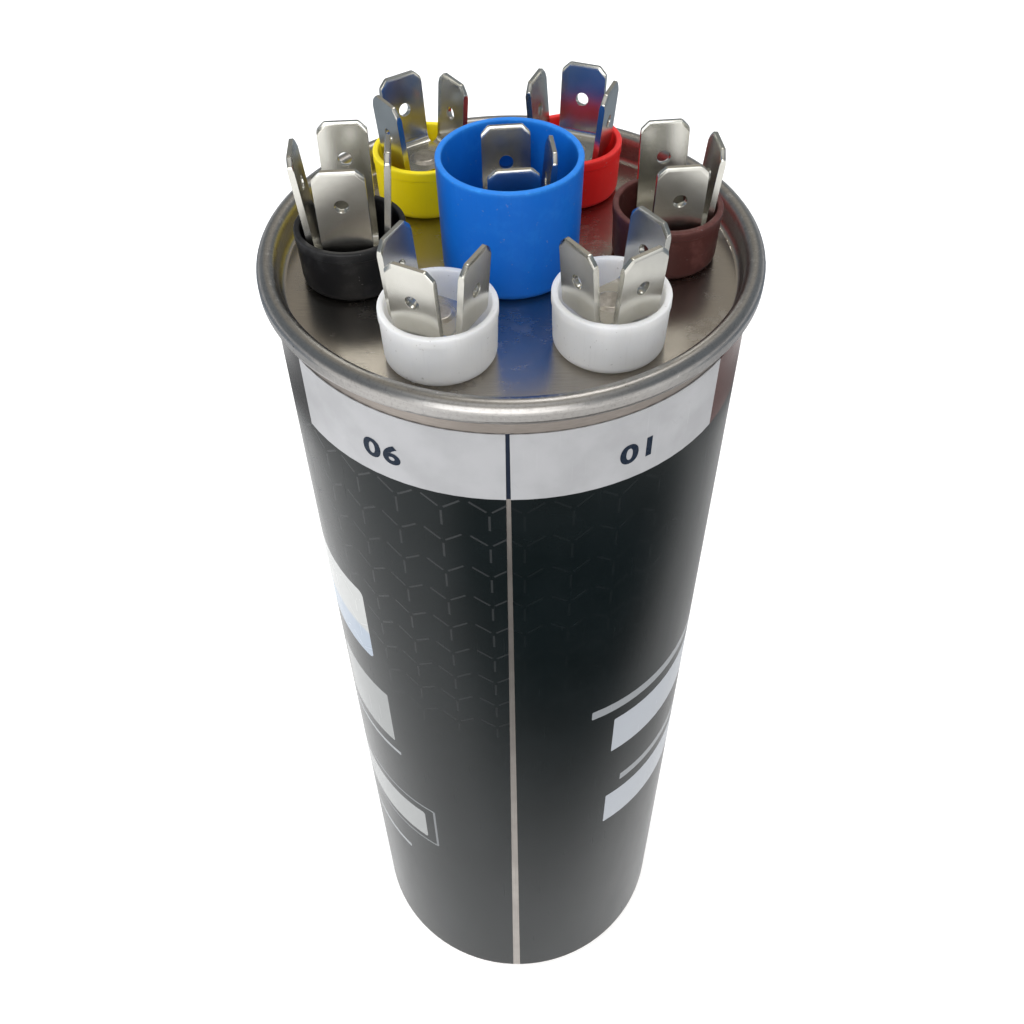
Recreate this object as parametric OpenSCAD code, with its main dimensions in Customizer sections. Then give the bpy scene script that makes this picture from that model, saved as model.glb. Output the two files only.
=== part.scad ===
// Motor run capacitor: a seamed round can with seven groups of push-on blades in insulating cups.
// The origin is the centre of the can's bottom and +Z is up. Sizes are millimetres and degrees.

/* [Can] */
// Outside diameter of the can
can_d = 63.5; // [58:0.5:80]
// Height of the can from its bottom to the top of the seam
can_h = 178; // [90:1:220]
// Thickness of the can's wall
can_wall = 0.45; // [0.35:0.05:0.7]
// Outside radius of the corner between the can's wall and bottom
can_corner = 1.5; // [0.8:0.1:4]
// Height of the empty space between the sealed contents and the cover
headspace = 8; // [5:0.5:20]

/* [Cover] */
// Thickness of the cover's sheet
cover_t = 0.5; // [0.35:0.05:0.7]
// Depth of the cover's flat panel below the top of the seam
panel_depth = 4; // [3.4:0.1:8]
// Inside radius of the corner between the panel and the wall around it
panel_corner = 0.8; // [0.4:0.1:1]
// Height of the double seam that joins the cover to the can
seam_h = 3; // [2.6:0.1:4]
// Gap between neighbouring layers of sheet in the seam
seam_gap = 0.06; // [0.03:0.01:0.1]

/* [Label] */
// Thickness of the wrapped label
label_t = 0.12; // [0.08:0.02:0.3]
// Layer of glue between the can and the label
label_glue = 0.03; // [0.02:0.01:0.1]
// Bare neck between the top of the seam and the label
label_drop = 5.6; // [4.6:0.1:12]
// Height of the label's lower edge above the can's bottom
label_foot = 1.7; // [1.6:0.1:10]
// Width, at the label's top, of the bare strip between its two ends
label_gap = 0.5; // [0.3:0.1:3]
// Width of that strip at the label's foot, as the two ends are not quite parallel
label_gap_foot = 1.6; // [0.3:0.1:4]
// Direction of that strip around the can
label_turn = -91.3; // [-180:0.1:180]

/* [Cups] */
// Distance from the can's axis to the axis of each low cup
ring_r = 20.7; // [19:0.1:22]
// Turn of the ring of low cups around the can's axis
ring_turn = 5.1; // [-30:0.1:30]
// Outside radius of a low cup at its rim
cup_r = 7.2; // [7.1:0.1:8]
// Height of a low cup above the cover's panel
cup_h = 7.6; // [6.6:0.1:12]
// Outside radius of the tall centre cup at its rim
tall_cup_r = 9.3; // [8.6:0.1:10.5]
// Height of the tall centre cup above the cover's panel
tall_cup_h = 15.9; // [10:0.1:20]
// Wall thickness of the cups
cup_wall = 0.8; // [0.6:0.05:0.9]
// Floor thickness of the cups
cup_floor = 1.4; // [1:0.1:1.8]
// How much narrower a cup's wall is at its foot than at its rim, on the radius
cup_draft = 0.3; // [0.1:0.05:0.4]
// Outside radius of the corner between a cup's wall and floor
cup_corner = 1.1; // [0.5:0.1:1.3]
// Radius of the rounding along a cup's rim
cup_lip = 0.25; // [0.1:0.05:0.28]
// Height of the thicker band round the rim of a low cup
band_h = 1.3; // [0.8:0.1:2]
// How far that band stands out from the wall below it
band_step = 0.1; // [0.05:0.05:0.1]
// Radius of the raised hub that a terminal sits on
hub_r = 3; // [2.8:0.1:3.6]
// Radius of the sleeve that goes down through the cover
sleeve_r = 2.7; // [2.5:0.1:3.2]
// Length of the sleeve below the cover's panel sheet
sleeve_len = 1.2; // [0.6:0.1:2]
// Gap between a sleeve and its hole in the cover
sleeve_gap = 0.08; // [0.05:0.01:0.2]

/* [Terminals] */
// Width of a blade
blade_w = 6.35; // [4.8:0.05:6.4]
// Thickness of the terminal's sheet
blade_t = 0.8; // [0.5:0.05:0.8]
// Angle that each blade leans outward
blade_splay = 5; // [0:0.5:6]
// Inside radius of the bend between the base and a blade
bend_r = 1; // [0.6:0.1:1.1]
// Flat strip between the side of a neighbouring blade and the start of a bend
bend_relief = 0.03; // [0.02:0.01:0.1]
// Length of the slanted corners at a blade's tip, along each edge
tip_cut = 1; // [0.8:0.1:2]
// Radius where the slanted corners meet the edges of the blade
tip_round = 0.6; // [0.3:0.1:1.2]
// Length of the bevels on both faces along a blade's tip and slanted corners
bevel_len = 0.5; // [0.2:0.1:0.8]
// Thickness that each bevel takes off at the tip
bevel_depth = 0.15; // [0.05:0.05:0.2]
// Diameter of the detent hole in a blade
detent_d = 1.8; // [1.2:0.1:2.4]
// Distance from a blade's tip to the middle of its detent hole
detent_drop = 4.8; // [3.4:0.1:5]
// Height of the hub under the white, yellow and red cups' terminals
high_seat = 5.1; // [2:0.1:6]
// Height of the hub under the brown and black cups' terminals
low_seat = 1.9; // [1.85:0.05:4]
// Height of the hub under the centre cup's terminal
tall_seat = 6.1; // [2:0.1:12]
// Height of the short terminals, from the base's underside to the blades' tips
short_tab_h = 10.7; // [9:0.1:14]
// Height of the brown cup's terminal
brown_tab_h = 14.1; // [9:0.1:18]
// Height of the black cup's terminal
black_tab_h = 16.4; // [9:0.1:20]

/* [Rivets] */
// Radius of a rivet's shank
rivet_r = 1.3; // [1:0.05:1.6]
// Gap between the shank and the holes it goes through
rivet_gap = 0.05; // [0.03:0.01:0.1]
// Radius of the rivet's upper head
head_r = 2.1; // [1.9:0.05:2.3]
// Height of the rivet's domed upper head
head_h = 0.35; // [0.3:0.05:0.9]
// Radius of the tail that is spread out under the sleeve
tail_r = 2.4; // [2:0.05:2.5]
// Height of that tail
tail_h = 0.7; // [0.4:0.1:1.2]

/* [Hidden] */
$fn = 96;
arc_steps = 5;
over = 1;

// Layers of the double seam, from the inside out
can_r = can_d / 2;
can_ri = can_r - can_wall;
chuck_ro = can_ri - seam_gap;
chuck_ri = chuck_ro - cover_t;
cover_hook_ri = can_r + seam_gap;
cover_hook_ro = cover_hook_ri + cover_t;
can_hook_ri = cover_hook_ro + seam_gap;
can_hook_ro = can_hook_ri + can_wall;
seam_ri = can_hook_ro + seam_gap;
seam_ro = seam_ri + cover_t;

// The two bends of the seam: over the top, and back up under the can's hook
top_bend_c = (chuck_ri + seam_ro) / 2;
top_bend_r = (seam_ro - chuck_ri) / 2;
top_bend_z = can_h - top_bend_r;
can_bend_r = (can_hook_ro - can_ri) / 2;
low_bend_c = (cover_hook_ri + seam_ro) / 2;
low_bend_r = (seam_ro - cover_hook_ri) / 2;
low_bend_z = can_h - seam_h + low_bend_r;

panel_z = can_h - panel_depth;
fill_z = panel_z - cover_t - headspace;
label_ri = can_r + label_glue;
label_ro = label_ri + label_t;

// Ring places of the low cups, in steps of a sixth of a turn
BROWN = 0;
RED = 1;
YELLOW = 2;
BLACK = 3;
WHITE_LEFT = 4;
WHITE_RIGHT = 5;
ring_step = 60;

// Sides of a terminal's base that carry a blade, as directions from the base's middle
three_sides = [-90, 0, 90];
four_sides = [-90, 0, 90, 180];

// Small turns that the riveted terminals are left with
turn_brown = 0;
turn_red = 3.4;
turn_yellow = -0.5;
turn_black = -2;
turn_white_left = -3;
turn_white_right = -0.6;

// ---- Outlines

// Points of an arc that rounds corner b of the path a, b, c with radius r
function fillet(a, b, c, r) =
    let (u = (a - b) / norm(a - b), v = (c - b) / norm(c - b))
    let (half = acos(u * v) / 2, m = (u + v) / norm(u + v))
    let (mid = b + m * r / sin(half), sweep = 90 - half)
    let (start = atan2(-m[1], -m[0]), side = sign(u[0] * v[1] - u[1] * v[0]))
    [for (k = [0 : arc_steps])
        let (angle = start + side * sweep * (1 - 2 * k / arc_steps))
        mid + r * [cos(angle), sin(angle)]];

// An outline given as [x, y, corner radius], with each corner rounded
function rounded(p) =
    let (n = len(p))
    [for (i = [0 : n - 1])
        let (a = p[(i + n - 1) % n], b = p[i], c = p[(i + 1) % n])
        each b[2] > 0
            ? fillet([a[0], a[1]], [b[0], b[1]], [c[0], c[1]], b[2])
            : [[b[0], b[1]]]];

// Half of a bent sheet's section, above or below the centre of the bend
module half_bend(c, z, outer, t, up) {
    translate([c, z]) intersection() {
        difference() {
            circle(r = outer);
            circle(r = outer - t);
        }
        translate([-outer - over, up ? 0 : -outer - over]) square([2 * (outer + over), outer + over]);
    }
}

// A straight stretch of sheet between two radii and two heights
module leg(r0, r1, z0, z1) {
    translate([r0, z0]) square([r1 - r0, z1 - z0]);
}

// ---- Can, cover and label

module can_section() {
    // Sealed contents and bottom, with the rounded corner
    polygon(rounded([[0, 0, 0], [can_r, 0, can_corner], [can_r, fill_z, 0], [0, fill_z, 0]]));
    leg(can_ri, can_r, fill_z, top_bend_z);
    half_bend(top_bend_c, top_bend_z, can_bend_r, can_wall, true);
    leg(can_hook_ri, can_hook_ro, low_bend_z, top_bend_z);
}

module can() {
    color("silver") rotate_extrude() can_section();
}

module cover_section() {
    corner_c = chuck_ri - panel_corner;
    leg(0, corner_c, panel_z - cover_t, panel_z);
    translate([corner_c, panel_z + panel_corner]) intersection() {
        difference() {
            circle(r = panel_corner + cover_t);
            circle(r = panel_corner);
        }
        translate([0, -panel_corner - cover_t]) square(panel_corner + cover_t);
    }
    leg(chuck_ri, chuck_ro, panel_z + panel_corner, top_bend_z);
    half_bend(top_bend_c, top_bend_z, top_bend_r, cover_t, true);
    leg(seam_ri, seam_ro, low_bend_z, top_bend_z);
    half_bend(low_bend_c, low_bend_z, low_bend_r, cover_t, false);
    leg(cover_hook_ri, cover_hook_ro, low_bend_z, top_bend_z);
}

module sleeve_hole() {
    translate([0, 0, -cover_t - over]) cylinder(r = sleeve_r + sleeve_gap, h = cover_t + 2 * over);
}

module cover() {
    color("lightsteelblue") difference() {
        rotate_extrude() cover_section();
        at_centre() sleeve_hole();
        for (place = [BROWN : WHITE_RIGHT]) at_ring(place) sleeve_hole();
    }
}

module label() {
    top = can_h - label_drop;
    color("black") difference() {
        translate([0, 0, label_foot]) cylinder(r = label_ro, h = top - label_foot);
        translate([0, 0, label_foot - over]) cylinder(r = label_ri, h = top - label_foot + 2 * over);
        rotate(label_turn) rotate([90, 0, 90]) linear_extrude(label_ro + over) polygon([
            [-label_gap_foot / 2, label_foot - over],
            [label_gap_foot / 2, label_foot - over],
            [label_gap / 2, top + over],
            [-label_gap / 2, top + over]
        ]);
    }
}

// ---- Places of the terminal posts, on the cover's panel with +X pointing outward

module at_centre() {
    translate([0, 0, panel_z]) rotate(ring_turn) children();
}

module at_ring(place) {
    rotate(ring_turn + ring_step * place) translate([ring_r, 0, panel_z]) children();
}

// ---- Cups

// A turned cup; the low ones have a thicker band round the rim
module cup(rim_r, rim_h, seat, banded) {
    foot_r = rim_r - cup_draft;
    bore_r = rivet_r + rivet_gap;
    sleeve_end = -cover_t - sleeve_len;
    rotate_extrude() polygon(rounded([
        [bore_r, sleeve_end, 0],
        [sleeve_r, sleeve_end, 0],
        [sleeve_r, 0, 0],
        [foot_r, 0, cup_corner],
        each banded ? [
            [rim_r - band_step, rim_h - band_h - band_step, 0],
            [rim_r, rim_h - band_h, 0]
        ] : [],
        [rim_r, rim_h, cup_lip],
        [rim_r - cup_wall, rim_h, cup_lip],
        [foot_r - cup_wall, cup_floor, cup_corner - cup_wall / 2],
        [hub_r, cup_floor, 0],
        [hub_r, seat, 0],
        [bore_r, seat, 0]
    ]));
}

module cup_blue() { color("dodgerblue") at_centre() cup(tall_cup_r, tall_cup_h, tall_seat, false); }
module cup_white_left() { color("white") at_ring(WHITE_LEFT) cup(cup_r, cup_h, high_seat, true); }
module cup_white_right() { color("white") at_ring(WHITE_RIGHT) cup(cup_r, cup_h, high_seat, true); }
module cup_brown() { color("saddlebrown") at_ring(BROWN) cup(cup_r, cup_h, low_seat, true); }
module cup_red() { color("red") at_ring(RED) cup(cup_r, cup_h, high_seat, true); }
module cup_yellow() { color("gold") at_ring(YELLOW) cup(cup_r, cup_h, high_seat, true); }
module cup_black() { color("dimgray") at_ring(BLACK) cup(cup_r, cup_h, low_seat, true); }

// ---- Terminals

// Wedges beyond the faces of a blade that bevel its top edge and slanted corners
module tip_bevels(length) {
    corner_reach = (blade_w / 2 - tip_cut) / sqrt(2);
    translate([0, 0, length]) for (edge = [[-45, corner_reach], [0, 0], [45, corner_reach]])
        rotate([edge[0], 0, 0]) translate([0, blade_w, edge[1]]) rotate([90, 0, 0])
            linear_extrude(2 * blade_w)
                for (face = [[0, bevel_depth], [-blade_t, -bevel_depth]]) polygon([
                    [face[0] + face[1], -2 * bevel_len],
                    [face[0] + face[1], bevel_len],
                    [face[0] - 2 * face[1], bevel_len]
                ]);
}

// One arm of the stamped blank: a strip of the base that bends up into a blade on the +X side
module arm(height) {
    bend_ro = bend_r + blade_t;
    lean = [sin(blade_splay), cos(blade_splay)];
    out = [cos(blade_splay), -sin(blade_splay)];
    // Foot of the blade's outer face, and its straight length from there to the tip
    foot = [blade_w / 2 + bend_relief, bend_ro] + bend_ro * out;
    length = (height - foot[1]) / lean[1];
    tip = foot + length * lean;
    // Where the outer and inner faces of the blade would meet those of the base without a bend
    outer = foot - foot[1] / lean[1] * lean;
    inner_foot = foot - blade_t * out;
    inner = inner_foot - (inner_foot[1] - blade_t) / lean[1] * lean;
    difference() {
        intersection() {
            // The bent sheet's section, from the middle of the base to the blade's tip
            translate([0, blade_w / 2 + over, 0]) rotate([90, 0, 0]) linear_extrude(blade_w + 2 * over)
                polygon(rounded([
                    [0, 0, 0],
                    [outer[0], outer[1], bend_ro],
                    [tip[0], tip[1], 0],
                    [tip[0] - blade_t * out[0], tip[1] - blade_t * out[1], 0],
                    [inner[0], inner[1], bend_r],
                    [0, blade_t, 0]
                ]));
            // The arm's outline and detent hole, square to the leaning blade
            translate([foot[0], 0, foot[1]]) rotate([0, blade_splay, 0]) translate([over, 0, 0])
                rotate([90, 0, -90]) linear_extrude(2 * foot[0]) difference() {
                    polygon(rounded([
                        [-blade_w / 2, -height, 0],
                        [blade_w / 2, -height, 0],
                        [blade_w / 2, length - tip_cut, tip_round],
                        [blade_w / 2 - tip_cut, length, tip_round],
                        [-blade_w / 2 + tip_cut, length, tip_round],
                        [-blade_w / 2, length - tip_cut, tip_round]
                    ]));
                    translate([0, length - detent_drop]) circle(d = detent_d, $fn = 48);
                }
        }
        translate([foot[0], 0, foot[1]]) rotate([0, blade_splay, 0]) tip_bevels(length);
    }
}

// A stamped terminal: arms that cross in the base's middle, where the rivet's hole is
module terminal(height, sides) {
    difference() {
        for (side = sides) rotate(side) arm(height);
        translate([0, 0, -over]) cylinder(r = rivet_r + rivet_gap, h = blade_t + 2 * over);
    }
}

module seated(seat, turn) { translate([0, 0, seat]) rotate(turn) children(); }

module terminal_blue() {
    color("gainsboro") at_centre() seated(tall_seat, 0) terminal(short_tab_h, three_sides);
}
module terminal_white_left() {
    color("gainsboro") at_ring(WHITE_LEFT) seated(high_seat, turn_white_left) terminal(short_tab_h, three_sides);
}
module terminal_white_right() {
    color("gainsboro") at_ring(WHITE_RIGHT) seated(high_seat, turn_white_right) terminal(short_tab_h, three_sides);
}
module terminal_brown() {
    color("gainsboro") at_ring(BROWN) seated(low_seat, turn_brown) terminal(brown_tab_h, three_sides);
}
module terminal_red() {
    color("gainsboro") at_ring(RED) seated(high_seat, turn_red) terminal(short_tab_h, three_sides);
}
module terminal_yellow() {
    color("gainsboro") at_ring(YELLOW) seated(high_seat, turn_yellow) terminal(short_tab_h, three_sides);
}
module terminal_black() {
    color("gainsboro") at_ring(BLACK) seated(low_seat, turn_black) terminal(black_tab_h, four_sides);
}

// ---- Rivets

// From the domed head on the terminal's base down to the spread tail under the cup's sleeve
module rivet(seat) {
    head_z = seat + blade_t;
    tail_z = -cover_t - sleeve_len;
    rotate_extrude() polygon(rounded([
        [0, tail_z - tail_h, 0],
        [tail_r, tail_z - tail_h, tail_h / 3],
        [tail_r, tail_z, 0],
        [rivet_r, tail_z, 0],
        [rivet_r, head_z, 0],
        [head_r, head_z, 0],
        [head_r * 0.75, head_z + head_h, head_h],
        [0, head_z + head_h, 0]
    ]));
}

module rivet_blue() { color("darkgray") at_centre() rivet(tall_seat); }
module rivet_white_left() { color("darkgray") at_ring(WHITE_LEFT) rivet(high_seat); }
module rivet_white_right() { color("darkgray") at_ring(WHITE_RIGHT) rivet(high_seat); }
module rivet_brown() { color("darkgray") at_ring(BROWN) rivet(low_seat); }
module rivet_red() { color("darkgray") at_ring(RED) rivet(high_seat); }
module rivet_yellow() { color("darkgray") at_ring(YELLOW) rivet(high_seat); }
module rivet_black() { color("darkgray") at_ring(BLACK) rivet(low_seat); }

can();
cover();
label();
cup_blue();
cup_white_left();
cup_white_right();
cup_brown();
cup_red();
cup_yellow();
cup_black();
terminal_blue();
terminal_white_left();
terminal_white_right();
terminal_brown();
terminal_red();
terminal_yellow();
terminal_black();
rivet_blue();
rivet_white_left();
rivet_white_right();
rivet_brown();
rivet_red();
rivet_yellow();
rivet_black();
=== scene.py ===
import math

import bmesh
import bpy
from mathutils import Matrix, Vector


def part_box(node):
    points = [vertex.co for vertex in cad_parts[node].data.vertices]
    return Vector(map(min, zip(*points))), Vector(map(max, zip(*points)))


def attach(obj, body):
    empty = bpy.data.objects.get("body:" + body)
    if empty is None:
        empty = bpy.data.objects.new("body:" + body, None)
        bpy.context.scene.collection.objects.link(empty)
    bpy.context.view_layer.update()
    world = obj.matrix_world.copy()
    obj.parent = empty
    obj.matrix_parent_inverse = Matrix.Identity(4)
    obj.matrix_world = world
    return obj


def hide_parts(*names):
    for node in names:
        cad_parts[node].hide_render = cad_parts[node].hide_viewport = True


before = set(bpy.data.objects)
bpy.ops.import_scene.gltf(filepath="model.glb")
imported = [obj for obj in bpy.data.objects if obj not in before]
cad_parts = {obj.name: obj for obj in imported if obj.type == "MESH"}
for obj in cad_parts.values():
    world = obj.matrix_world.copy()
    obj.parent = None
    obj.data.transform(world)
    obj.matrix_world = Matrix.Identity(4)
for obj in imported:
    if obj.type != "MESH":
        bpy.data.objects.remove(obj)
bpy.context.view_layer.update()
MM = 0.001

# ---------------------------------------------------------------------------------------------
# The can: one deep-drawn aluminium cup with a rounded bottom corner. Its satin wall shows as a
# bare neck below the seam, in the gap of the label and round the foot, and its bottom stays bare.
# ---------------------------------------------------------------------------------------------


class Value:
    """A shader socket that takes part in sums: each operator adds its own Math node."""

    def __init__(self, finish, socket):
        self.finish, self.socket = finish, socket

    def math(self, operation, *others):
        return self.finish.node("Math", {"operation": operation}, [self, *others])

    def reflected(self, operation, other):
        return self.finish.node("Math", {"operation": operation}, [other, self])

    def __add__(self, other):
        return self.math("ADD", other)

    def __sub__(self, other):
        return self.math("SUBTRACT", other)

    def __rsub__(self, other):
        return self.reflected("SUBTRACT", other)

    def __mul__(self, other):
        return self.math("MULTIPLY", other)

    def __truediv__(self, other):
        return self.math("DIVIDE", other)

    def __rtruediv__(self, other):
        return self.reflected("DIVIDE", other)

    def __abs__(self):
        return self.math("ABSOLUTE")

    __radd__, __rmul__ = __add__, __mul__

    def ramp(self, low, high, bottom=0.0, top=1.0):
        """Rises smoothly from bottom to top while the value goes from low to high."""
        return self.finish.node(
            "MapRange", {"interpolation_type": "SMOOTHSTEP"}, [self, low, high, bottom, top]
        )

    def between(self, low, high, soft):
        """1 from low to high, falling to 0 over the width soft outside."""
        return self.ramp(low - soft, low) * self.ramp(high + soft, high)


class Finish:
    """A procedural finish: one Principled shader and what feeds it."""

    def __init__(self, name, **constants):
        self.material = bpy.data.materials.new(name)
        self.material.use_nodes = True
        self.tree = self.material.node_tree
        self.shader = self.tree.nodes["Principled BSDF"]
        for socket, value in constants.items():
            self.shader.inputs[socket.replace("_", " ")].default_value = value

    def node(self, kind, settings=None, inputs=(), out=0):
        """Adds a node: its settings first, then the values or links of its sockets."""
        made = self.tree.nodes.new("ShaderNode" + kind)
        for key, value in (settings or {}).items():
            setattr(made, key, value)
        pairs = inputs.items() if isinstance(inputs, dict) else enumerate(inputs)
        for key, value in pairs:
            if isinstance(value, Value):
                self.tree.links.new(value.socket, made.inputs[key])
            else:
                made.inputs[key].default_value = value
        return Value(self, made.outputs[out])

    def feed(self, socket, value):
        self.tree.links.new(value.socket, self.shader.inputs[socket])

    def place(self):
        """The point in millimetres, as a vector and as x, y and z."""
        raw = self.node("TexCoord", out="Object")
        point = self.node("VectorMath", {"operation": "SCALE"}, {0: raw, "Scale": 1 / MM})
        return (point, *(self.node("SeparateXYZ", {}, [point], out=i) for i in range(3)))

    def vector(self, x, y, z):
        return self.node("CombineXYZ", {}, [x, y, z])

    def noise(self, vector, scale, detail=3.0, roughness=0.5):
        return self.node(
            "TexNoise", {}, {"Vector": vector, "Scale": scale, "Detail": detail, "Roughness": roughness}
        )

    def mix(self, mask, under, over):
        """Colour under where the mask is 0 and over where it is 1."""
        pick = [c if isinstance(c, Value) else (*c, 1.0) for c in (under, over)]
        return self.node("Mix", {"data_type": "RGBA"}, {0: mask, 6: pick[0], 7: pick[1]}, out=2)

    def blend(self, mask, under, over):
        """Number under where the mask is 0 and over where it is 1."""
        return self.node("Mix", {"data_type": "FLOAT"}, {0: mask, 2: under, 3: over})

    def bump(self, height, depth, strength=1.0):
        """Raises the surface by up to depth millimetres where height is 1."""
        self.feed(
            "Normal",
            self.node("Bump", {}, {"Strength": strength, "Distance": depth * MM, "Height": height}),
        )

    def wear(self, node):
        """Gives a CAD node this finish in every one of its material slots."""
        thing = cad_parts[node]
        for slot in thing.material_slots:
            slot.material = self.material


def off_axis(x, y):
    """The distance from the can's axis."""
    return (x * x + y * y).math("SQRT")


LABEL_GAP_TURN = -91.3
BAND_HEIGHT = 11.05
SEAM_HEIGHT = 3.0
label_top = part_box("label")[1].z / MM
seam_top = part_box("cover")[1].z / MM
band_low = label_top - BAND_HEIGHT
seam_foot = seam_top - SEAM_HEIGHT


def can_finish():
    f = Finish("drawn_aluminium", Metallic=1.0, Specular_IOR_Level=0.1)
    point, x, y, z = f.place()
    r = off_axis(x, y)
    upright = f.noise(f.vector(x / r * 190.0, y / r * 190.0, z * 0.05), 1.0, 4.0, 0.6)
    level = f.noise(f.vector(x / r * 16.0, y / r * 16.0, z * 6.0), 1.0, 4.0, 0.6)
    drawn = f.blend(z.ramp(label_top - 0.4, label_top + 0.4), upright, level)
    cloud = f.noise(point, 0.09, 4.0, 0.6)
    scuff = f.noise(f.vector(x * 0.6, y * 0.6, z * 0.9), 1.0, 6.0, 0.7).ramp(0.6, 0.72)
    foot = z.ramp(3.5, 0.6)
    wear = scuff * foot
    tone = f.mix(cloud.ramp(0.35, 0.7), (0.33, 0.30, 0.275), (0.42, 0.385, 0.355))
    tone = f.mix(drawn.ramp(0.42, 0.62) * 0.3, tone, (0.22, 0.2, 0.185))
    # patchy dirt and painted shade just under the seam, darkening the top of the neck
    dirt_and_shade_under_seam = z.ramp(seam_foot - 0.9, seam_foot + 0.1) * f.noise(point, 0.8, 4.0).ramp(0.3, 0.75)
    tone = f.mix(dirt_and_shade_under_seam * 0.7, tone, (0.09, 0.075, 0.06))
    # painted shade: the bare neck above the label's top edge is made darker, as shade under the seam
    tone = f.mix(z.ramp(label_top - 0.1, label_top + 0.2) * 0.55, tone, (0.17, 0.145, 0.125))
    tone = f.mix(wear * 0.5, tone, (0.30, 0.29, 0.28))
    # ink of the band ran on into the upper part of the label's gap
    gap = (y.math("ARCTAN2", x) * (180 / math.pi) - LABEL_GAP_TURN).between(-1.2, 1.2, 0.1)
    ink = gap * z.between(band_low, label_top, 0.04)
    tone = f.mix(ink, tone, (0.012, 0.018, 0.035))
    f.feed("Base Color", tone)
    f.feed("Roughness", drawn * 0.16 + cloud * 0.08 + wear * 0.2 + 0.2)
    f.feed("Metallic", 1.0 - ink * 0.9)
    f.bump(drawn * 0.5 + scuff * foot, 0.02, 0.6)
    return f


can_finish().wear("can")

# ---------------------------------------------------------------------------------------------
# The cover: a pressed steel lid, its flat panel sunk below the rim. A pair of rollers folded its
# edge round the can's, and left the rim polished, finely lined and a little scratched.
# ---------------------------------------------------------------------------------------------
PANEL_DEPTH = 4.0
PANEL_EDGE = 29.9
panel_top = seam_top - PANEL_DEPTH


def cover_finish():
    f = Finish("pressed_steel", Metallic=1.0)
    point, x, y, z = f.place()
    r = off_axis(x, y)
    panel = r.ramp(PANEL_EDGE + 0.9, PANEL_EDGE) * z.ramp(panel_top + 0.9, panel_top + 0.2)
    # the rim's fine lines run round it, and the panel's lie along the rolled sheet
    spun = f.noise(f.vector(x / r * 9.0, y / r * 9.0, z * 13.0 + r * 13.0), 1.0, 4.0, 0.6)
    rolled = f.noise(f.vector(x * 0.25, y * 9.0, z), 1.0, 4.0, 0.65)
    lines = f.blend(panel, spun, rolled)
    cloud = f.noise(point, 0.11, 5.0, 0.6)
    fine = f.noise(point, 0.55, 5.0, 0.65)
    # dried drops leave pale rings and dull patches on the panel
    drops = f.node("TexVoronoi", {"feature": "F1"}, {"Vector": point, "Scale": 0.16, "Randomness": 1.0})
    ragged = drops + fine * 0.35
    ring = ragged.between(0.59, 0.62, 0.13) * cloud.ramp(0.5, 0.66)
    stain = fine.ramp(0.46, 0.72) * cloud.ramp(0.48, 0.66)
    # hair scratches in two directions
    one_way = f.noise(f.vector(x * 0.16 + y * 0.12, y * 4.2 - x * 5.6, z), 1.0, 2.0)
    other_way = f.noise(f.vector(x * 0.15 - y * 0.1, y * 5.1 + x * 3.4 + 40.0, z), 1.0, 2.0)
    hair = one_way.ramp(0.70, 0.74) + other_way.ramp(0.71, 0.75) * cloud.ramp(0.45, 0.6)
    # the rollers scuffed the inner shoulder of the rim
    shoulder = r.between(30.9, 31.9, 0.25) * z.ramp(seam_top - 0.7, seam_top - 0.2)
    nicks = f.noise(f.vector(x * 1.1, y * 1.1, z * 2.0), 1.0, 6.0, 0.75).ramp(0.52, 0.68) * shoulder
    # painted shade: the seam's outer wall gets a darker copy of the rim's steel
    side = r.ramp(32.6, 33.3)
    steel = f.mix(side, (0.42, 0.41, 0.395), (0.37, 0.36, 0.35))
    steel = f.mix(panel, steel, (0.47, 0.435, 0.39))
    tone = f.mix(cloud.ramp(0.3, 0.75) * 0.4, steel, (0.36, 0.335, 0.305))
    tone = f.mix(lines.ramp(0.42, 0.68) * 0.36, tone, (0.25, 0.24, 0.23))
    tone = f.mix(panel * (ring * 0.1 + stain * 0.2), tone, (0.62, 0.61, 0.60))
    tone = f.mix((hair * 0.35 + nicks * 0.55).math("MINIMUM", 1.0), tone, (0.74, 0.73, 0.71))
    # the rim is grained, and its outer foot is painted darker, as shade where the seam turns under
    grain = f.noise(point, 2.4, 3.0, 0.7)
    tone = f.mix(grain.ramp(0.48, 0.68) * (1 - panel) * 0.35, tone, (0.19, 0.185, 0.18))
    # painted shade along the seam's outer foot
    foot = side * z.ramp(seam_foot + 0.9, seam_foot + 0.25)
    tone = f.mix(foot * 0.6, tone, (0.13, 0.115, 0.105))
    pit = fine.ramp(0.31, 0.27) * (1 - panel)
    tone = f.mix(pit * 0.7, tone, (0.08, 0.07, 0.06))
    f.feed("Base Color", tone)
    wall = r.between(29.5, 31.2, 0.3) * z.ramp(seam_top - 0.3, seam_top - 0.9) * (1 - panel)
    dull = lines * 0.14 + cloud * 0.1 + nicks * 0.2 + wall * 0.12
    dull = dull + panel * (stain * 0.14 + ring * 0.06)
    f.feed("Roughness", dull + f.blend(panel, 0.2, 0.12))
    relief = lines * 0.5 + hair * 0.3 + nicks * 0.5 + cloud * 0.5
    f.bump(relief + grain * (1 - panel) * 0.4, 0.008, 0.6)
    return f


cover_finish().wear("cover")

# ---------------------------------------------------------------------------------------------
# The insulating cups: seven injection-moulded thermoplastic cups, one colour for each terminal,
# standing on the cover with a sleeve through it. The tall one in the middle is the common side.
# ---------------------------------------------------------------------------------------------
WHITE = (0.81, 0.81, 0.795), (0.86, 0.86, 0.85)
CUP_COLOURS = {
    "blue": ((0.005, 0.13, 0.57), (0.03, 0.26, 0.76)),
    "white_left": WHITE,
    "white_right": WHITE,
    "brown": ((0.068, 0.021, 0.018), (0.14, 0.052, 0.046)),
    "red": ((0.74, 0.016, 0.015), (0.80, 0.05, 0.045)),
    "yellow": ((0.90, 0.71, 0.006), (0.92, 0.77, 0.03)),
    "black": ((0.007, 0.007, 0.008), (0.022, 0.022, 0.023)),
}


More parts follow.
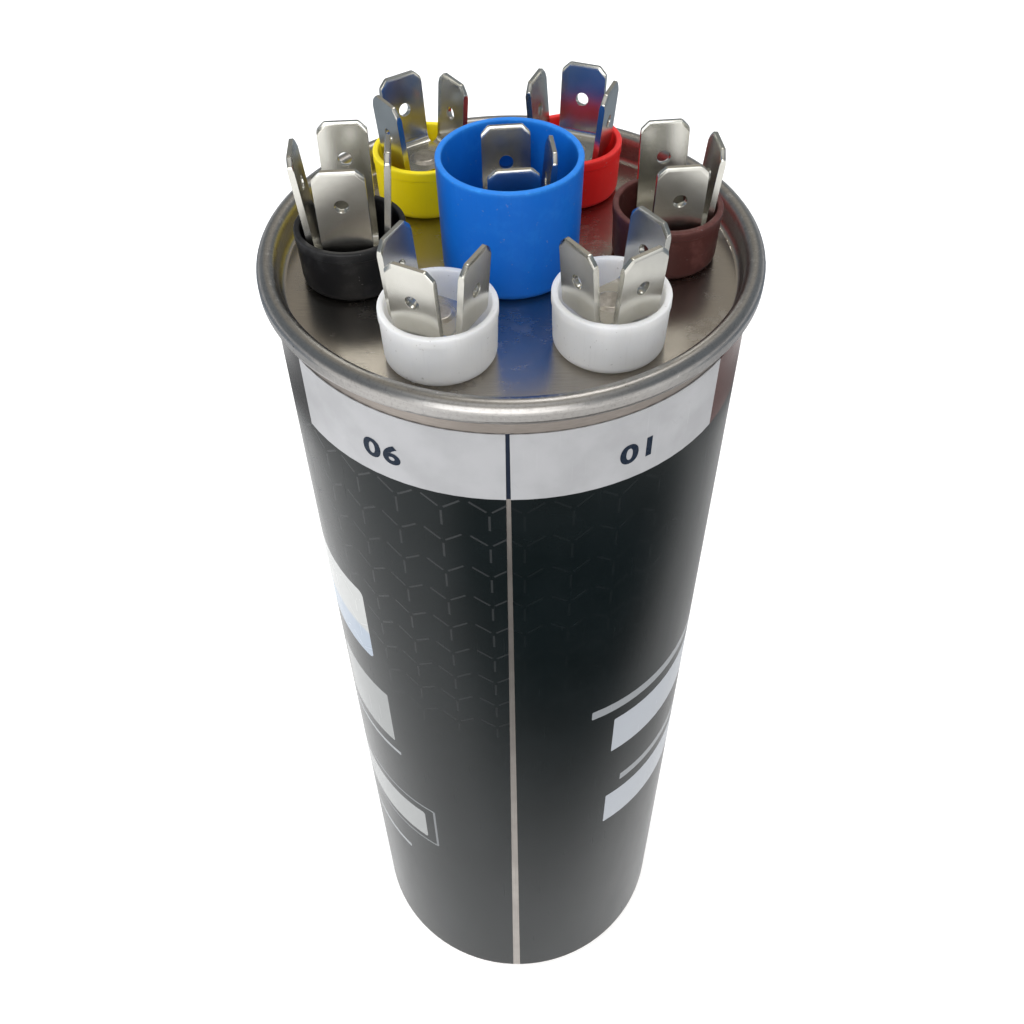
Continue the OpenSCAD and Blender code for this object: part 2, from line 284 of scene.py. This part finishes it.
def cup_finish(name, body, worn_and_lit, lip_top):
    white = name.startswith("white")
    dull = name in ("black", "brown")
    f = Finish("moulded_" + name, IOR=1.49, Specular_IOR_Level=0.5 if white else 0.28 if dull else 0.2)
    # the white plastic lets some light through
    if white:
        f.shader.inputs["Subsurface Weight"].default_value = 0.85
        f.shader.inputs["Subsurface Radius"].default_value = (1.0, 0.95, 0.85)
        f.shader.inputs["Subsurface Scale"].default_value = 7.0 * MM
    point, x, y, z = f.place()
    flow = f.noise(f.vector(x * 0.5, y * 0.5, z * 0.12), 1.0, 4.0, 0.6)
    grain = f.noise(point, 5.0, 3.0, 0.6)
    drag = f.noise(f.vector(x * 4.0, y * 4.0, z * 0.12), 1.0, 3.0, 0.6)
    speck = f.noise(point, 1.7, 2.0).ramp(0.70, 0.74)
    lip = z.ramp(lip_top - 0.75, lip_top - 0.1)
    rub = f.noise(point, 0.9, 5.0, 0.7).ramp(0.5, 0.66)
    smudge = f.noise(point, 0.24, 5.0, 0.7).ramp(0.48, 0.68) * (0.8 if dull else 0.15)
    # the lip is lighter, partly painted light along its top edge and partly rubbed wear; smudges take the
    # same lighter colour
    tone = f.mix((smudge + lip * (rub * 0.4 + 0.45)).math("MINIMUM", 1.0), body, worn_and_lit)
    # darker streaks where the plastic was dragged, and painted shade at the foot where the cup meets the
    # panel
    dark = tuple(c * 0.6 for c in body)
    tone = f.mix(drag.ramp(0.55, 0.7) * 0.08 + z.ramp(panel_top + 0.4, panel_top) * 0.3, tone, dark)
    dust = (0.35, 0.33, 0.30) if white else (0.30, 0.29, 0.28)
    tone = f.mix(speck * (0.5 if white else 0.25), tone, dust)
    f.feed("Base Color", tone)
    f.feed("Roughness", flow * 0.12 + grain * 0.08 + lip * 0.08 + drag * 0.06 + 0.24)
    f.bump(grain * 0.5 + drag * 0.12 + flow * 0.4, 0.008, 0.5)
    return f


for name, (body, worn_and_lit) in CUP_COLOURS.items():
    lip_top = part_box("cup_" + name)[1].z / MM
    cup_finish(name, body, worn_and_lit, lip_top).wear("cup_" + name)

# ---------------------------------------------------------------------------------------------
# The terminals: tin-plated strip, stamped and folded up into three or four push-on blades. The
# press bevels the blades' tips, rolls the other edges a little and punches a locking hole in each.
# ---------------------------------------------------------------------------------------------
EDGE_BREAK = 0.07 * MM


def piece(name, work, finish):
    """Makes a bmesh a finished piece of the object, at rest on the object's one body."""
    mesh = bpy.data.meshes.new(name)
    work.to_mesh(mesh)
    work.free()
    for face in mesh.polygons:
        face.use_smooth = True
    mesh.set_sharp_from_angle(angle=math.radians(50))
    mesh.materials.append(finish.material)
    made = bpy.data.objects.new(name, mesh)
    bpy.context.scene.collection.objects.link(made)
    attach(made, "root")
    return made


def broken_edges(node):
    """The node's own shape as one closed mesh, with its edges broken."""
    work = bmesh.new()
    work.from_mesh(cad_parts[node].data)
    bmesh.ops.remove_doubles(work, verts=work.verts, dist=1e-6)
    bmesh.ops.dissolve_limit(work, angle_limit=math.radians(0.4), verts=work.verts, edges=work.edges)
    sharp = [e for e in work.edges if e.is_manifold and e.calc_face_angle() > math.radians(40)]
    bmesh.ops.bevel(
        work, geom=sharp, offset=EDGE_BREAK, offset_type="OFFSET", affect="EDGES", segments=2,
        profile=0.5, material=-1, clamp_overlap=True,
    )
    return work


def terminal_finish():
    f = Finish("tinned_strip", Metallic=1.0)
    point, x, y, z = f.place()
    cloud = f.noise(point, 0.28, 5.0, 0.6)
    grain = f.noise(f.vector(x * 7.0, y * 7.0, z * 0.55), 1.0, 4.0, 0.65)
    speck = f.noise(point, 3.4, 4.0, 0.7)
    dirt = f.noise(point, 0.75, 6.0, 0.7).ramp(0.56, 0.74)
    tone = f.mix(cloud.ramp(0.3, 0.72), (0.535, 0.525, 0.48), (0.61, 0.60, 0.555))
    tone = f.mix(grain.ramp(0.5, 0.72) * 0.1, tone, (0.45, 0.43, 0.40))
    tone = f.mix(dirt * 0.16 + speck.ramp(0.66, 0.74) * 0.2, tone, (0.30, 0.27, 0.23))
    f.feed("Base Color", tone)
    f.feed("Roughness", grain * 0.04 + cloud * 0.06 + dirt * 0.04 + 0.185)
    f.bump(grain * 0.2 + cloud + speck * 0.05, 0.001, 0.4)
    return f


tinned = terminal_finish()
for name in CUP_COLOURS:
    blades = piece("blades_" + name, broken_edges("terminal_" + name), tinned)
    blades.modifiers.new("flat_faces_stay_flat", "WEIGHTED_NORMAL").keep_sharp = True
    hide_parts("terminal_" + name)

# ---------------------------------------------------------------------------------------------
# The rivets: one tinned brass rivet through each terminal, cup and the cover. It is set from
# above, and its head is clouded and pitted.
# ---------------------------------------------------------------------------------------------


def rivet_finish():
    f = Finish("set_rivet", Metallic=1.0)
    point = f.place()[0]
    cloud = f.noise(point, 0.9, 5.0, 0.65)
    pits = f.noise(point, 5.0, 4.0, 0.7)
    tone = f.mix(cloud.ramp(0.35, 0.7), (0.40, 0.37, 0.33), (0.62, 0.59, 0.54))
    f.feed("Base Color", f.mix(pits.ramp(0.6, 0.7) * 0.4, tone, (0.2, 0.18, 0.16)))
    f.feed("Roughness", cloud * 0.2 + pits * 0.1 + 0.18)
    f.bump(pits + cloud * 0.6, 0.02, 0.8)
    return f


headed = rivet_finish()
for name in CUP_COLOURS:
    headed.wear("rivet_" + name)

# ---------------------------------------------------------------------------------------------
# The label: one printed and laminated plastic sheet wrapped round the can, its two ends a narrow
# gap apart. Its top band repeats the colours of the ring's cups, and its black body a faint motif.
# ---------------------------------------------------------------------------------------------
LABEL_R = max(math.hypot(v.co.x, v.co.y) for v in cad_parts["label"].data.vertices) / MM
LABEL_ROUND = 2 * math.pi * LABEL_R
WHITE_HALF = 30.8
COLOUR_STEP = (LABEL_ROUND - 2 * WHITE_HALF) / 4
PALE = (0.41, 0.435, 0.475)
GREY = (0.27, 0.285, 0.30)
BADGE_TOP = (0.46, 0.47, 0.465)
BADGE_FOOT = (0.30, 0.37, 0.47)
# each plate: left and right end along the sheet, bottom, top, corner radius and colour
BADGE = (25.2, 42.7, 113.0, 130.5, 1.2)
PRINT_FROM_LEFT_END = (
    (17.87, 62.0, 91.6, 102.2, 0.25, PALE),
    (17.87, 62.0, 64.9, 75.2, 0.25, PALE),
    (13.3, 47.0, 105.3, 107.6, 0.3, GREY),
    (20.8, 45.0, 78.5, 80.7, 0.3, GREY),
)
PRINT_FROM_RIGHT_END = (
    (*BADGE, BADGE_TOP),
    (23.2, 37.9, 89.4, 104.2, 0.2, (0.27, 0.28, 0.28)),
    (22.1, 40.0, 85.4, 86.4, 0.2, GREY),
    (18.2, 42.0, 57.6, 67.6, 0.6, (0.31, 0.32, 0.32)),
    (23.8, 40.0, 45.6, 46.9, 0.3, GREY),
)
BAND_COLOURS = (
    (0.075, 0.03, 0.026), (0.50, 0.016, 0.016), (0.62, 0.50, 0.01), (0.008, 0.008, 0.009),
)


def plate(s, z, left, right, low, high, corner, soft=0.1):
    """A round-cornered rectangle on the sheet: 1 inside it and 0 outside."""
    u = abs(s - (left + right) / 2) - ((right - left) / 2 - corner)
    v = abs(z - (low + high) / 2) - ((high - low) / 2 - corner)
    past_side, past_end = u.math("MAXIMUM", 0.0), v.math("MAXIMUM", 0.0)
    past_corner = (past_side * past_side + past_end * past_end).math("SQRT")
    away = past_corner + u.math("MAXIMUM", v).math("MINIMUM", 0.0) - corner
    return away.ramp(soft / 2, -soft / 2)


def label_finish():
    f = Finish("printed_label", IOR=1.5, Specular_IOR_Level=0.11)
    point, x, y, z = f.place()
    turn = y.math("ARCTAN2", x) / (2 * math.pi) - LABEL_GAP_TURN / 360
    s = turn.math("FRACT") * LABEL_ROUND
    back = LABEL_ROUND - s
    # the motif: small three-armed stars in rows, one arm down and two up
    step_s, step_z = 6.322, 6.4
    cs = (((s - 2.0) / step_s + 0.5).math("FRACT") - 0.5) * step_s
    cz = (((z - 158.6) / step_z + 0.5).math("FRACT") - 0.5) * step_z
    tilt = math.radians(37)
    cosine, sine = math.cos(tilt), math.sin(tilt)
    side = abs(cs)
    along = side * cosine + cz * sine
    across = abs(side * sine - cz * cosine)
    arm_start, arm_end = 0.5, 3.15
    arm = along.between(arm_start, arm_end, 0.12) * across.ramp(0.2, 0.1)
    stem = (0 - cz).between(arm_start, arm_end, 0.12) * side.ramp(0.2, 0.1)
    fade = f.noise(point, 0.02, 2.0).ramp(0.35, 0.6, 0.5, 1.0) * z.ramp(95.0, 140.0, 0.12, 1.0)
    lit = s.ramp(60.0, 150.0, 0.14, 1.0)
    motif = (arm + stem).math("MINIMUM", 1.0) * fade * lit * z.ramp(band_low - 0.3, band_low - 0.6)
    cloud = f.noise(point, 0.05, 4.0, 0.6)
    body = f.mix(cloud.ramp(0.35, 0.65), (0.0022, 0.005, 0.0056), (0.0042, 0.0076, 0.0086))
    tone = f.mix(motif, body, (0.042, 0.045, 0.047))
    # plain pale fields and bars where such labels have boxes and lines of print
    for *place, colour in PRINT_FROM_LEFT_END:
        tone = f.mix(plate(s, z, *place), tone, colour)
    for *place, colour in PRINT_FROM_RIGHT_END:
        tone = f.mix(plate(back, z, *place), tone, colour)
    badge_foot = plate(back, z, *BADGE) * z.ramp(120.5, 119.5)
    tone = f.mix(badge_foot * 0.8, tone, BADGE_FOOT)
    frame_line = plate(back, z, 15.7, 45.0, 55.6, 70.3, 0.5) - plate(back, z, 16.2, 44.5, 56.1, 69.8, 0.4)
    tone = f.mix(frame_line.math("MAXIMUM", 0.0) * 0.6, tone, GREY)
    # the band: white on both sides of the gap, and a field for each of the ring's other cups
    band = f.mix(f.noise(point, 0.2, 4.0).ramp(0.3, 0.7), (0.37, 0.373, 0.385), (0.42, 0.423, 0.437))
    for i, colour in enumerate(BAND_COLOURS):
        low = WHITE_HALF + i * COLOUR_STEP
        band = f.mix(s.between(low, low + COLOUR_STEP, 0.04), band, colour)
    rubbed = f.noise(f.vector(s * 1.3 + z * 1.1, z * 0.25 - s * 0.2, 3.0), 1.0, 4.0, 0.7)
    patch = f.noise(point, 0.11, 2.0).ramp(0.55, 0.68)
    band = f.mix(rubbed.ramp(0.6, 0.7) * patch * 0.35, band, (0.30, 0.31, 0.33))
    tone = f.mix(z.ramp(band_low - 0.05, band_low + 0.05), tone, band)
    f.feed("Base Color", tone)
    smear = f.noise(f.vector(x * 0.1, y * 0.1, z * 0.03), 1.0, 4.0, 0.6)
    scratch = f.noise(f.vector(s * 3.0, z * 0.08, 1.0), 1.0, 3.0).ramp(0.68, 0.76)
    f.feed("Roughness", smear * 0.14 + scratch * 0.12 + motif * 0.06 + 0.17)
    ripple = f.noise(f.vector(x * 0.07, y * 0.07, z * 0.05), 1.0, 2.0)
    f.bump(ripple + motif * 0.02, 0.05, 0.35)
    return f


label_finish().wear("label")

# ---------------------------------------------------------------------------------------------
# The printed numbers: one plain number for each terminal of the ring, in dark ink on the label's
# band, and in pale ink on the dark colours. They are printed with the rest of the sheet.
# ---------------------------------------------------------------------------------------------
DIGIT_SIZE = 4.6 * MM
DIGIT_HEIGHT = 3.3 * MM
DIGIT_MIDDLE = label_top * MM - 6.7 * MM
DIGIT_STRIP = 0.4 * MM
INK_LIFT = 0.012 * MM
WHITE_MIDDLE = 16.4


def ink_finish(name, colour):
    f = Finish(name, IOR=1.5, Specular_IOR_Level=0.05)
    blot = f.noise(f.place()[0], 1.6, 4.0, 0.6)
    thin = tuple(c * 0.7 + 0.02 for c in colour)
    f.feed("Base Color", f.mix(blot.ramp(0.3, 0.75) * 0.4, colour, thin))
    f.feed("Roughness", blot * 0.12 + 0.22)
    return f


dark_ink = ink_finish("dark_ink", (0.010, 0.018, 0.034))
pale_ink = ink_finish("pale_ink", (0.66, 0.66, 0.64))


def reach(work, axis):
    """The lowest and highest place of a bmesh along an axis."""
    places = [v.co[axis] for v in work.verts]
    return min(places), max(places)


def flat_text(text):
    """A text as a flat bmesh, its digits as high as the band's."""
    line = bpy.data.curves.new("line", "FONT")
    line.body = text
    line.align_x = line.align_y = "CENTER"
    line.size = DIGIT_SIZE
    line.space_character = 1.12
    line.offset = 0.16 * MM
    line.resolution_u = 6
    holder = bpy.data.objects.new("line", line)
    bpy.context.scene.collection.objects.link(holder)
    bpy.context.view_layer.update()
    laid_out = holder.evaluated_get(bpy.context.evaluated_depsgraph_get())
    flat = bpy.data.meshes.new_from_object(laid_out)
    bpy.data.objects.remove(holder)
    work = bmesh.new()
    work.from_mesh(flat)
    bpy.data.meshes.remove(flat)
    low, high = reach(work, 1)
    bmesh.ops.scale(work, vec=(1.12, DIGIT_HEIGHT / (high - low), 1.0), verts=work.verts)
    return work


def printed(text, name, middle, ink):
    """Prints a text on the band, its middle at that many millimetres from the label's left end."""
    work = flat_text(text)
    low, high = reach(work, 1)
    left, right = reach(work, 0)
    # upright strips let the flat text follow the round label
    cut = left + DIGIT_STRIP
    while cut < right:
        bmesh.ops.bisect_plane(
            work, geom=work.verts[:] + work.edges[:] + work.faces[:], dist=1e-7,
            plane_co=(cut, 0, 0), plane_no=(1, 0, 0),
        )
        cut += DIGIT_STRIP
    start = math.radians(LABEL_GAP_TURN) + middle / LABEL_R
    out = LABEL_R * MM + INK_LIFT
    for v in work.verts:
        angle = start + (v.co.x - (left + right) / 2) / out
        rise = v.co.y - (low + high) / 2 + DIGIT_MIDDLE
        v.co = Vector((out * math.cos(angle), out * math.sin(angle), rise))
    bmesh.ops.recalc_face_normals(work, faces=work.faces)
    outward = sum(face.normal.xy.dot(face.calc_center_median().xy) for face in work.faces)
    if outward < 0:
        bmesh.ops.reverse_faces(work, faces=work.faces)
    return piece(name, work, ink)


field_middles = [WHITE_HALF + (i + 0.5) * COLOUR_STEP for i in range(len(BAND_COLOURS))]
middles = [WHITE_MIDDLE, *field_middles, LABEL_ROUND - WHITE_MIDDLE]
inks = [dark_ink, pale_ink, dark_ink, dark_ink, pale_ink, dark_ink]
for number, (middle, ink) in enumerate(zip(middles, inks), start=1):
    printed("%02d" % number, "number_%d" % number, middle, ink)

# ---------------------------------------------------------------------------------------------
# The stage: a plain pale floor and surround, a dark card and a dark upper sky that show only in
# mirror images, soft lamps, and the camera above the front. None of it belongs to the object.
# ---------------------------------------------------------------------------------------------
SEEN = ("Is Camera Ray", "Is Glossy Ray", "Is Transmission Ray")


def shown_to(f, *kinds):
    """1 for rays of those kinds, such as Is Camera Ray, and 0 for the rest."""
    total = f.node("LightPath", out=kinds[0])
    for kind in kinds[1:]:
        total = total + f.node("LightPath", out=kind)
    return total.math("MINIMUM", 1.0)


def first_mirror(f):
    """1 for a mirror ray that has met no dull surface yet, and 0 for the light such surfaces get."""
    scattered = f.node("LightPath", out="Diffuse Depth").math("MINIMUM", 1.0)
    return shown_to(f, "Is Glossy Ray") * (1 - scattered)


def floor_finish():
    f = Finish("pale_floor", Roughness=0.8, Emission_Strength=1.0)
    cloud = f.noise(f.place()[0], 0.004, 3.0)
    f.feed("Base Color", f.mix(cloud, (0.80, 0.80, 0.80), (0.82, 0.82, 0.82)))
    seen = shown_to(f, *SEEN)
    f.feed("Emission Color", f.mix(seen, (0.0, 0.0, 0.0), (0.36, 0.36, 0.36)))
    return f


def card_finish():
    """Dark before the can, half dark on its right, a dark arc and slate behind it, else clear."""
    f = Finish("dark_card", Roughness=1.0, Specular_IOR_Level=0.0)
    point, x, y, z = f.place()
    r = off_axis(x, y)
    front = (x * 0.6 - y).ramp(40.0, 125.0) * x.ramp(-125.0, -60.0)
    near = front.math("MAXIMUM", x.ramp(25.0, 90.0) * 0.42) * r.ramp(208.0, 182.0)
    beside = r.between(196.0, 212.0, 20.0) * y.ramp(-20.0, 60.0) * 0.85
    far = r.ramp(228.0, 270.0) * y.ramp(-160.0, -20.0)
    cloud = f.noise(point, 0.004, 2.0)
    slate = f.mix(cloud, (0.19, 0.225, 0.265), (0.23, 0.265, 0.31))
    f.feed("Base Color", f.mix(far, (0.012, 0.013, 0.014), slate))
    f.feed("Alpha", near.math("MAXIMUM", beside).math("MAXIMUM", far) * first_mirror(f))
    return f


def flat_sheet(name, size, height, finish):
    work = bmesh.new()
    bmesh.ops.create_grid(work, x_segments=8, y_segments=8, size=size)
    mesh = bpy.data.meshes.new(name)
    work.to_mesh(mesh)
    work.free()
    mesh.transform(Matrix.Translation((0, 0, height)))
    mesh.materials.append(finish.material)
    made = bpy.data.objects.new(name, mesh)
    bpy.context.scene.collection.objects.link(made)
    return made


flat_sheet("floor", 3.0, -0.02 * MM, floor_finish())
card = flat_sheet("card", 1.6, 0.2 * MM, card_finish())
card.visible_camera = card.visible_diffuse = card.visible_shadow = False

world = bpy.data.worlds.new("surround")
bpy.context.scene.world = world
world.use_nodes = True


class Surround(Finish):
    """The same node maker on the world's tree."""

    def __init__(self, tree):
        self.tree, self.shader = tree, tree.nodes["Background"]


sky = Surround(world.node_tree)
heading = sky.node("TexCoord", out="Generated")
toward_x, toward_y, height = (sky.node("SeparateXYZ", {}, [heading], out=i) for i in range(3))
slate = (height.ramp(0.62, 0.34) + abs(toward_x).ramp(0.3, 0.55)).math("MINIMUM", 1.0)
upper = sky.mix(slate, (0.43, 0.395, 0.335), (0.21, 0.24, 0.27))
bright = height.ramp(0.72, 0.9) * (0 - toward_y).ramp(0.04, 0.26)
upper = sky.mix(bright, upper, (0.95, 0.95, 0.97))
dark = height.ramp(0.0, 0.13) * first_mirror(sky)
sky.feed("Color", sky.mix(dark, (1.0, 1.0, 1.0), upper))
sky.feed("Strength", 1.06 - shown_to(sky, *SEEN) * 0.06)


def soft_lamp(name, place, aim, size, watts, colour, unseen_by=None):
    light = bpy.data.lights.new(name, "AREA")
    light.shape, light.energy, light.color = "RECTANGLE", watts, colour
    light.size, light.size_y = size
    lamp = bpy.data.objects.new(name, light)
    bpy.context.scene.collection.objects.link(lamp)
    lamp.location = place
    lamp.rotation_euler = (Vector(aim) - Vector(place)).to_track_quat("-Z", "Y").to_euler()
    if unseen_by:
        setattr(lamp, "visible_" + unseen_by, False)


SHOULDER = (0, 0, 0.17)
FOOT = (-0.05, 0, 0.05)
soft_lamp(
    "mirrored", (-0.08, -0.68, 0.325), SHOULDER, (0.72, 0.60), 4.1, (1.0, 0.995, 0.985), "diffuse"
)
soft_lamp("key", (-0.12, -0.48, 0.62), SHOULDER, (0.30, 0.30), 0.95, (1.0, 0.99, 0.97), "glossy")
soft_lamp("back", (0.10, 0.26, 0.78), SHOULDER, (0.22, 0.22), 0.6, (1.0, 0.99, 0.98))
soft_lamp("window", (-0.70, -0.10, 0.42), FOOT, (0.45, 0.45), 1.5, (0.97, 0.985, 1.0), "glossy")

# the camera looks down at the front of the can from close by, turned a little clockwise
CAMERA_PLACE = (-0.000319, -0.121652, 0.258301)
elevation = math.radians(47.85)
roll = math.radians(-0.81)
ahead = Vector((0, math.cos(elevation), -math.sin(elevation)))
right = Vector((1, 0, 0))
up = Vector((0, math.sin(elevation), math.cos(elevation)))
axis_x = right * math.cos(roll) + up * math.sin(roll)
axis_y = up * math.cos(roll) - right * math.sin(roll)
lens = bpy.data.cameras.new("camera")
lens.lens, lens.sensor_width, lens.clip_start = 37.68, 36.0, 0.01
camera = bpy.data.objects.new("camera", lens)
bpy.context.scene.collection.objects.link(camera)
turned = Matrix((axis_x, axis_y, -ahead)).transposed().to_4x4()
camera.matrix_world = Matrix.Translation(CAMERA_PLACE) @ turned
bpy.context.scene.camera = camera
bpy.context.scene.view_settings.view_transform = "Standard"
